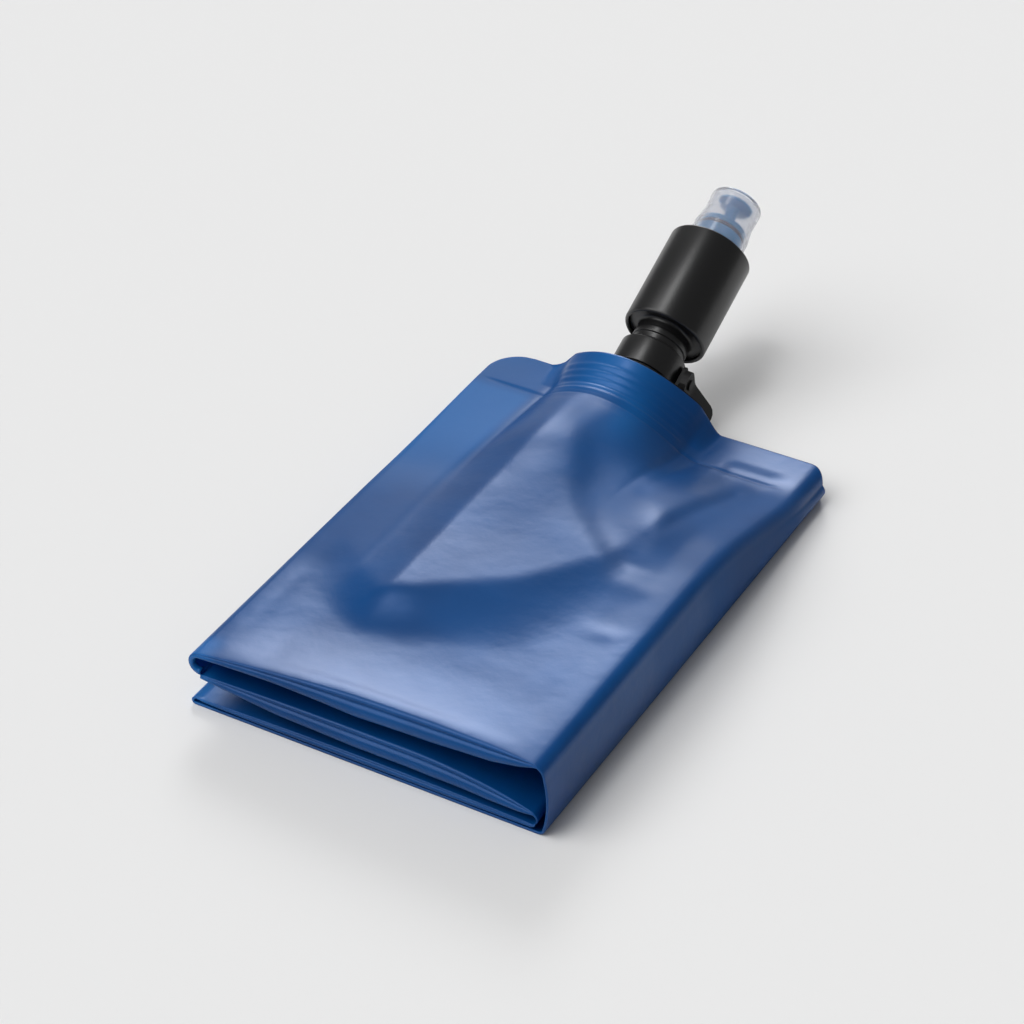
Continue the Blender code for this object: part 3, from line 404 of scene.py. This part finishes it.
def dome(x, y, centre, reach, height):
    # A soft swelling, or a dent when its height is negative
    across = (x / MM - centre[0]) / reach[0]
    along = y / MM - centre[1]
    along = np.where(along < 0, along / reach[1], along / reach[2])
    return height * MM * np.exp(-across * across - along * along)


def wrinkles(x, y):
    # Small swellings and dents on the tent and beside the fold that the solid doesn't have
    lift = sum(dome(x, y, *swelling) for swelling in SWELLINGS)
    return lift + ridge(x, y, *FOLD_DENT)


RIB_INSETS = (7, 10.5, 14, 17.5, 21)
RIB_HEIGHT = 0.6
RIB_WIDTH = 1.1
GROOVE_INSET = 25
GROOVE_DEPTH = 0.45
GROOVE_WIDTH = 0.9
WING_STEP_DEPTH = 0.7


def weld(x, inset):
    # The ribs of the spout's boat pressed through the film, the groove where the weld ends,
    # and a shallow step down behind the weld of the right wing
    on_boat = smooth((HALF_BOAT + 3 * MM - abs(x - SPOUT_X)) / (5 * MM))
    x, inset = x / MM, inset / MM
    ribs = sum(np.exp(-((inset - place) / RIB_WIDTH) ** 2) for place in RIB_INSETS)
    groove = np.exp(-((inset - GROOVE_INSET) / GROOVE_WIDTH) ** 2)
    step = smooth((inset - 13) / 8) * (1 - smooth((inset - 30) / 40)) * smooth((x - 38) / 8)
    return (RIB_HEIGHT * on_boat * ribs - GROOVE_DEPTH * groove - WING_STEP_DEPTH * step) * MM


# The hem of two beads: how far each point lies forward and inward, in shares of its size
HEM = [
    (0.06, 0.002), (0.11, 0.015), (0.155, 0.045), (0.175, 0.09), (0.17, 0.14), (0.15, 0.19),
    (0.14, 0.23), (0.155, 0.27), (0.20, 0.31), (0.25, 0.36), (0.29, 0.42), (0.32, 0.49),
    (0.33, 0.56), (0.325, 0.63), (0.31, 0.70), (0.28, 0.77), (0.24, 0.83), (0.18, 0.89),
    (0.10, 0.94), (0.0, 0.97), (-0.12, 0.99), (-0.4, 0.98), (-0.8, 0.95),
]


FOLD_START = 21 * MM
FOLD_EASE = 16 * MM
FOLD_EDGE_EASE = 12 * MM
SMOOTHING_PASSES = 3
CORNER_SHARE = 0.84
CORNER_EASE = 40 * MM
HEM_PULL = 0.33
HEM_EASE = 14 * MM


def creased(xs, zs, leaf):
    # The film's heights with its folds, wrinkles and weld on the upper leaf
    on_leaf = np.flatnonzero(leaf)
    if not len(on_leaf):
        return zs
    first, last = xs[:, on_leaf[0]][:, None], xs[:, on_leaf[-1]][:, None]
    sides = leaf[None, :] * smooth((xs - first) / FOLD_EDGE_EASE)
    sides *= smooth((last - xs) / FOLD_EDGE_EASE)
    past_weld = smooth((column - FOLD_START) / FOLD_EASE)
    ys = SEAM_Y - column
    lift = sides * past_weld * folds(xs, ys)
    for _ in range(SMOOTHING_PASSES):
        lift[1:-1] = (lift[:-2] + 2 * lift[1:-1] + lift[2:]) / 4
        lift[:, 1:-1] = (lift[:, :-2] + 2 * lift[:, 1:-1] + lift[:, 2:]) / 4
    return zs + lift + sides * (past_weld * wrinkles(xs, ys) + weld(xs, column))


def with_hem(xs, ys, zs, hem):
    # The rows as points, and after them the rows of the hem, which curls in from the last one
    dx = np.gradient(xs[-1])
    dz = np.gradient(zs[-1])
    size = np.hypot(dx, dz)
    nx, nz = dz / size, -dx / size
    pull = smooth((column - LENGTH + HEM_EASE) / HEM_EASE)
    ys = ys + HEM_PULL * abs(hem)[None, :] * pull
    all_x, all_y, all_z = list(xs), list(ys), list(zs)
    for forward, inward in HEM:
        all_x.append(xs[-1] + nx * hem * inward)
        all_z.append(zs[-1] + nz * hem * inward)
        all_y.append(ys[-1] - abs(hem) * forward)
    return np.stack([np.array(all_x), np.array(all_y), np.array(all_z)], axis=2)


def paint(mesh, x, y):
    # Painted light: the first mask paints the film's base colour a brighter blue where light shines
    # through it, on the left wing, beside the boat, over the weld band and in the loops at the
    # front left. The second makes the surface rougher where its sheen is dull. Places in
    # millimetres in plan
    wing = smooth((-48 - x) / 8) * smooth((y + 10) / 80) * (1 - 0.6 * smooth((y - 96) / 8))
    patch = 0.8 * np.exp(-((x + 1) / 7) ** 2 - ((y - 90) / 14) ** 2)
    loops = smooth((-68 - x) / 10) * smooth((-112 - y) / 10)
    band = np.exp(-((x + 18) / 16) ** 2) * smooth((y - 98) / 6)
    edge = smooth((-46 - x) / 8) * smooth((y + 66) / 20) * (0.7 + 0.3 * smooth((y - 20) / 20))
    beside = 0.75 * smooth((x - 46) / 10) * (1 - smooth((y - 90) / 20))
    beside *= 0.4 * smooth((y + 46) / 16) + 0.6 * smooth((y + 2) / 20)
    bank = 0.85 * np.exp(-((x - 24) / 15) ** 2 - ((y - 42) / 22) ** 2)
    crest = 0.6 * np.exp(-((x + 19) / 7) ** 2 - ((y - 84) / 18) ** 2)
    layers = {"painted_backlight": wing + patch + loops + band, "dull": edge + beside + bank + crest}
    for title, values in layers.items():
        layer = mesh.attributes.new(title, "FLOAT", "POINT")
        layer.data.foreach_set("value", np.clip(values, 0, 1).astype(np.float32))


def build_film(name, parts, hems):
    # The mesh of one film, whose rows go from the seam to the front and on round the hem
    xs, zs, leaf, upper = parts
    near = smooth(2 - abs(xs - SPOUT_X) / HALF_BOAT)
    away = smooth(column / SPINE_REACH)
    tip = math.tan(SPOUT_TILT) * (zs - seam_line(xs, column)) * near * (1 - away) * upper[None, :]
    end_gap = END_GAP * (1 - column / LENGTH)
    past_corner = np.clip(xs - HALF_WIDTH + BACK_CORNER, 0, BACK_CORNER * CORNER_SHARE)
    rounding = BACK_CORNER - np.sqrt(BACK_CORNER ** 2 - past_corner ** 2)
    ys = SEAM_Y - column - end_gap - tip - rounding * (1 - smooth(column / CORNER_EASE))
    zs = creased(xs, zs, leaf)
    grid = with_hem(xs, ys, zs, hems(xs[-1], np.arange(xs.shape[1])))
    bm = bmesh.new()
    verts = [[bm.verts.new(point) for point in row] for row in grid]
    for row, following in zip(verts, verts[1:]):
        for i in range(len(row) - 1):
            bm.faces.new((row[i], row[i + 1], following[i + 1], following[i]))
    bmesh.ops.recalc_face_normals(bm, faces=bm.faces)
    mesh = bpy.data.meshes.new(name)
    bm.to_mesh(mesh)
    bm.free()
    mesh.shade_smooth()
    paint(mesh, grid[:, :, 0].ravel() / MM, grid[:, :, 1].ravel() / MM)
    made = bpy.data.objects.new(name, mesh)
    bpy.context.scene.collection.objects.link(made)
    return made


HEM_PLACES = [-83, -42, -5, 30, 57, 70, 78]
OUTER_HEM = [2, 5.5, 10.5, 10, 8, 4.5, 1]
INNER_HEM = [1, 7.5, 9.5, 9.5, 7, 4, 0.5]
OUTER_HEM_BELOW = 0.8
INNER_HEM_BELOW = 3.2
OUTER_TOP_END = LOOP_COLUMNS + TOP_COLUMNS + 2
INNER_TOP_END = INNER_TOP_COLUMNS + BEND_COLUMNS // 2
INNER_BACK_START = 98


def outer_hems(x, index):
    # The hem's size at each column of the outer film's front, slight where it isn't on top
    upper = np.interp(x / MM, HEM_PLACES, OUTER_HEM)
    return np.where(index < OUTER_TOP_END, upper, OUTER_HEM_BELOW) * MM


def inner_hems(x, index):
    # The same for the inner film, whose lower half curls the other way
    upper = np.interp(x / MM, HEM_PLACES, INNER_HEM)
    back = np.clip((index - INNER_BACK_START) / (index[-1] - INNER_BACK_START), 0, 1)
    lower = -INNER_HEM_BELOW * np.sin(math.pi * back) ** 0.5
    return np.where(index < INNER_TOP_END, upper, lower) * MM


outer_film = build_film("outer_film", outer_sections(), outer_hems)
inner_film = build_film("inner_film", inner_sections(), inner_hems)

SHARE_THROUGH = 0.25
film = new_material("translucent_blue_film")
coords = node(film, "ShaderNodeTexCoord").outputs["Object"]
cloud = node(film, "ShaderNodeTexNoise", Vector=coords, Scale=18.0, Detail=3.0)
tint = node(film, "ShaderNodeValToRGB", Fac=cloud.outputs["Fac"])
tint.color_ramp.elements[0].position = 0.3
tint.color_ramp.elements[0].color = linear("02417c")
tint.color_ramp.elements[1].position = 0.7
tint.color_ramp.elements[1].color = linear("065294")
# Painted light: where the first mask of paint() is high, the base colour turns the brighter blue
# 1068b0, which stands for light shining through the film
painted_backlight = node(film, "ShaderNodeAttribute", {"attribute_name": "painted_backlight"}).outputs["Fac"]
lit = node(
    film, "ShaderNodeMix", {"data_type": "RGBA"},
    i0=painted_backlight, i6=tint.outputs["Color"], i7=linear("1068b0"),
)
dull = node(film, "ShaderNodeAttribute", {"attribute_name": "dull"}).outputs["Fac"]
roughness = node(film, "ShaderNodeMapRange", Value=dull, To_Min=0.34, To_Max=0.75)
ripple = node(film, "ShaderNodeTexNoise", Vector=coords, Scale=70.0, Detail=3.0)
waves = node(film, "ShaderNodeBump", Height=ripple.outputs["Fac"], Strength=0.25, Distance=0.001)
grain = node(film, "ShaderNodeTexNoise", Vector=coords, Scale=900.0, Detail=2.0)
bump = node(
    film, "ShaderNodeBump", Height=grain.outputs["Fac"], Strength=0.08, Distance=0.0002,
    Normal=waves.outputs["Normal"],
)
body = node(
    film, "ShaderNodeBsdfPrincipled", Base_Color=lit.outputs[2],
    Roughness=roughness.outputs["Result"], Normal=bump.outputs["Normal"],
)
body.inputs["IOR"].default_value = 1.5
body.inputs["Specular IOR Level"].default_value = 0.8
body.inputs["Specular Tint"].default_value = (0.36, 0.54, 1.0, 1.0)
body.inputs["Coat Weight"].default_value = 0.05
body.inputs["Coat Roughness"].default_value = 0.15
through = node(film, "ShaderNodeBsdfTranslucent", Color=linear("0a66c8")).outputs["BSDF"]
mixed = node(film, "ShaderNodeMixShader", Fac=SHARE_THROUGH, i1=body.outputs["BSDF"], i2=through)
output(film, mixed.outputs["Shader"])

for made, covered in ((outer_film, "bag_outer_film"), (inner_film, "bag_inner_film")):
    made.data.materials.append(film)
    thick = made.modifiers.new("film_thickness", "SOLIDIFY")
    thick.thickness = SHOWN_FILM
    thick.offset = 0.0
    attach(made, "bag")
    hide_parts(covered)


# Black mouldings: the filter's outside, turned about its axis, in fine matt plastic. The
# spout, the arm and its pin keep their solids' shapes, in a duller black

ROUNDING_STEPS = 5
TURN_STEPS = 128
MERGE_DISTANCE = 0.000001
SHARP_ANGLE = math.radians(40)


def rounded(corners):
    # An outline from (radius, height, rounding) corners in millimetres
    outline = []
    for index, (radius, height, rounding) in enumerate(corners):
        corner = np.array((radius, height), float)
        if rounding == 0:
            outline.append(corner)
            continue
        before = np.array(corners[index - 1][:2], float) - corner
        after = np.array(corners[(index + 1) % len(corners)][:2], float) - corner
        before /= np.hypot(*before)
        after /= np.hypot(*after)
        half_angle = math.acos(np.clip(before @ after, -1, 1)) / 2
        centre = before + after
        centre = corner + centre / np.hypot(*centre) * rounding / math.sin(half_angle)
        reach = rounding / math.tan(half_angle)
        start = corner + before * reach - centre
        end = corner + after * reach - centre
        first = math.atan2(start[1], start[0])
        turn = (math.atan2(end[1], end[0]) - first + math.pi) % (2 * math.pi) - math.pi
        for step in range(ROUNDING_STEPS + 1):
            angle = first + turn * step / ROUNDING_STEPS
            outline.append(centre + np.array((math.cos(angle), math.sin(angle))) * rounding)
    return outline


def on_axis(radius, height, angle):
    # A point of the filter, from its place about the filter's own axis in millimetres
    x, down = radius * math.cos(angle), radius * math.sin(angle)
    sine, cosine = math.sin(SPOUT_TILT), math.cos(SPOUT_TILT)
    return (
        SPOUT_X + x * MM,
        SEAM_Y + (height * cosine + down * sine) * MM,
        SPOUT_HEIGHT + (height * sine - down * cosine) * MM,
    )


def turned(name, corners, body, covered, material):
    # A closed outline turned about the filter's axis
    outline = rounded(corners)
    bm = bmesh.new()
    rings = []
    for step in range(TURN_STEPS):
        angle = 2 * math.pi * step / TURN_STEPS
        rings.append([bm.verts.new(on_axis(radius, height, angle)) for radius, height in outline])
    for ring, following in zip(rings, rings[1:] + rings[:1]):
        for i in range(len(outline)):
            bm.faces.new((ring[i - 1], ring[i], following[i], following[i - 1]))
    bmesh.ops.remove_doubles(bm, verts=bm.verts, dist=MERGE_DISTANCE)
    bmesh.ops.recalc_face_normals(bm, faces=bm.faces)
    mesh = bpy.data.meshes.new(name)
    bm.to_mesh(mesh)
    bm.free()
    mesh.shade_smooth()
    mesh.set_sharp_from_angle(angle=SHARP_ANGLE)
    mesh.materials.append(material)
    made = bpy.data.objects.new(name, mesh)
    bpy.context.scene.collection.objects.link(made)
    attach(made, body)
    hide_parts(*covered)


def moulded(name, colour, roughness, scale, detail, strength):
    # A plastic with a fine grain in its surface
    material = new_material(name)
    place = node(material, "ShaderNodeTexCoord").outputs["Object"]
    grain = node(material, "ShaderNodeTexNoise", Vector=place, Scale=scale, Detail=detail)
    bump = node(
        material, "ShaderNodeBump", Height=grain.outputs["Fac"], Strength=strength, Distance=0.0002,
    )
    body = node(
        material, "ShaderNodeBsdfPrincipled", Base_Color=linear(colour), Roughness=roughness,
        Normal=bump.outputs["Normal"],
    )
    output(material, body.outputs["BSDF"])
    return material, body


black = moulded("black_moulded_plastic", "131314", 0.32, 1400.0, 2.0, 0.12)[0]

housing = [
    (20, 77, 1.0), (20, 26.5, 1.6), (18.7, 26.5, 0.3), (18.7, 27.2, 0.2), (18.4, 27.4, 0),
    (18.4, 76.1, 0), (18.7, 76.3, 0.2), (18.7, 77, 0.3),
]
turned("filter_housing", housing, "filter", ["housing_shell"], black)
collar = [
    (16, 16.3, 0.9), (16, 2.5, 0.5), (14.1, 2.5, 0.3), (14.1, 14.9, 0), (12.9, 14.9, 0),
    (12.9, 16.3, 0.4),
]
turned("thread_collar", collar, "filter", ["collar"], black)

snap_ring = [(13.8, 17.6, 0.3), (13.8, 16.6, 0.3), (11.7, 16.6, 0), (11.7, 17.6, 0)]
turned("neck_snap_ring", snap_ring, "filter", ["snap_ring"], black)
neck = [
    (18.1, 32.5, 0.4), (18.1, 31.7, 0), (16, 31.7, 0), (16, 29.3, 0), (18.1, 29.3, 0),
    (18.1, 28.5, 0.4), (12.6, 28.5, 2.0), (12.6, 24, 0.4), (13.3, 23.7, 0.4), (13.3, 20.8, 0.4),
    (12.6, 20.5, 0.3), (12.6, 17.9, 0), (11.4, 17.9, 0), (11.4, 16.3, 0), (12.6, 16.3, 0),
    (12.6, 14.6, 0), (13.5, 14.6, 0), (13.5, 13.2, 0), (9, 13.2, 0), (9, 32.5, 0),
]
turned("filter_neck", neck, "filter", ["inlet_neck"], black)
end_cap = [
    (18.1, 76.4, 0.4), (18.1, 75.6, 0), (16, 75.6, 0), (16, 73.2, 0), (18.1, 73.2, 0),
    (18.1, 72.4, 0.4), (3, 72.4, 0), (3, 74.4, 0), (6.3, 74.4, 0), (6.3, 76.4, 0),
]
turned("filter_end_cap", end_cap, "filter", ["top_cap"], black)

matt, matt_body = moulded("black_matt_plastic", "0b0b0c", 0.62, 1100.0, 3.0, 0.2)
matt_body.inputs["Specular IOR Level"].default_value = 0.35
for name in ("spout_fitment", "hang_arm", "arm_pin"):
    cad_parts[name].data.materials.clear()
    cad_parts[name].data.materials.append(matt)


# Mouthpiece: a blue stem inside a milky clear sleeve. The stem's post and its plug at the
# tip are thinner than the solid's, and the plug and the sleeve's lip lie further out

blue = new_material("blue_moulded_plastic")
coords = node(blue, "ShaderNodeTexCoord").outputs["Object"]
cloud = node(blue, "ShaderNodeTexNoise", Vector=coords, Scale=120.0, Detail=2.0)
tint = node(
    blue, "ShaderNodeMix", {"data_type": "RGBA"},
    i0=cloud.outputs["Fac"], i6=linear("0484be"), i7=linear("0c95d4"),
)
body = node(blue, "ShaderNodeBsdfPrincipled", Base_Color=tint.outputs[2], Roughness=0.42)
body.inputs["Specular IOR Level"].default_value = 0.25
body.inputs["Subsurface Weight"].default_value = 0.2
body.inputs["Subsurface Radius"].default_value = (0.001, 0.002, 0.004)
output(blue, body.outputs["BSDF"])
stem = [
    (0, 104.6, 0), (8.2, 104.6, 0.5), (8.2, 103.2, 0.4), (2.9, 102.4, 0.4), (2.9, 91.5, 0.6),
    (10.7, 91.5, 0.7), (10.7, 89.1, 0.2), (9.1, 89.1, 0.2), (9.1, 86.9, 0.2), (10.7, 86.9, 0.2),
    (10.7, 77.3, 0), (6, 77.3, 0), (6, 74.7, 0), (2.6, 74.7, 0), (2.6, 96.9, 0),
    (0, 96.9, 0),
]
turned("mouthpiece_stem", stem, "filter", ["nozzle_stem"], blue)

MILK_SHARE = 0.1
clear = new_material("clear_moulded_plastic")
coords = node(clear, "ShaderNodeTexCoord").outputs["Object"]
flow = node(clear, "ShaderNodeTexNoise", Vector=coords, Scale=90.0, Detail=2.0)
bump = node(clear, "ShaderNodeBump", Height=flow.outputs["Fac"], Strength=0.1, Distance=0.0004)
body = node(
    clear, "ShaderNodeBsdfPrincipled", Base_Color=linear("f4f6fa"), Roughness=0.2,
    Normal=bump.outputs["Normal"],
)
body.inputs["IOR"].default_value = 1.42
body.inputs["Transmission Weight"].default_value = 0.96
milk = node(clear, "ShaderNodeBsdfPrincipled", Base_Color=linear("eeecf2"), Roughness=0.5)
mixed = node(
    clear, "ShaderNodeMixShader", Fac=MILK_SHARE, i1=body.outputs["BSDF"], i2=milk.outputs["BSDF"],
)
output(clear, mixed.outputs["Shader"])
sleeve = [
    (12.4, 107, 2.0), (12.4, 102.6, 3), (12.2, 96.5, 4), (13.5, 88, 4), (13.5, 78, 0.4),
    (11.3, 78, 0.3), (11.3, 79.5, 0.2), (12, 79.5, 0.2), (12, 88, 3), (10.7, 96.5, 4),
    (10.9, 101.8, 1), (10.9, 105, 0.6), (6.5, 105, 0.3), (6.5, 107, 0.7),
]
turned("mouthpiece_sleeve", sleeve, "nozzle", ["nozzle_sleeve"], clear)


# Inner pieces: the seals, a steel screen, and the white fibre pack in its cage. They keep
# their solids' shapes and get a material each

def grained(name, low, high, roughness, scale, depth, stretch=(1.0, 1.0, 1.0)):
    # A material whose colour and surface vary with a fine noise, stretched along an axis
    material = new_material(name)
    place = node(material, "ShaderNodeTexCoord").outputs["Object"]
    drawn = node(material, "ShaderNodeMapping", Vector=place, Scale=stretch)
    noise = node(
        material, "ShaderNodeTexNoise", Vector=drawn.outputs["Vector"], Scale=scale, Detail=3.0,
    )
    share = noise.outputs["Fac"]
    colour = node(
        material, "ShaderNodeMix", {"data_type": "RGBA"}, i0=share, i6=linear(low), i7=linear(high),
    )
    rough = node(material, "ShaderNodeBump", Height=share, Strength=0.3, Distance=depth)
    shader = node(
        material, "ShaderNodeBsdfPrincipled", Base_Color=colour.outputs[2], Roughness=roughness,
        Normal=rough.outputs["Normal"],
    )
    output(material, shader.outputs["BSDF"])
    return material, shader


rubber = grained("black_rubber", "0d0d0e", "18181a", 0.7, 900.0, 0.0001)[0]
silicone = grained("dark_blue_silicone", "0f2f55", "16406f", 0.55, 900.0, 0.0001)[0]
cage = grained("white_moulded_plastic", "dcdcda", "ececea", 0.5, 700.0, 0.0001)[0]
fibre = grained("hollow_fibre", "d8d6cc", "f4f2ea", 0.8, 500.0, 0.0003, (1.0, 0.08, 0.08))[0]
resin = grained("potting_resin", "c9b98c", "d8caa2", 0.35, 300.0, 0.0001)[0]
steel, steel_body = grained(
    "brushed_stainless_steel", "a8a9ab", "c6c7c9", 0.32, 900.0, 0.0001, (1.0, 0.1, 1.0),
)
steel_body.inputs["Metallic"].default_value = 1.0
inner = {
    "spout_gasket": rubber, "lower_cap_o_ring": rubber, "top_cap_o_ring": rubber,
    "stem_o_ring": silicone, "inlet_screen": steel, "fibre_cage": cage, "fibre_bundle": fibre,
    "potting_disc": resin,
}
for name, material in inner.items():
    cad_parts[name].data.materials.clear()
    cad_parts[name].data.materials.append(material)
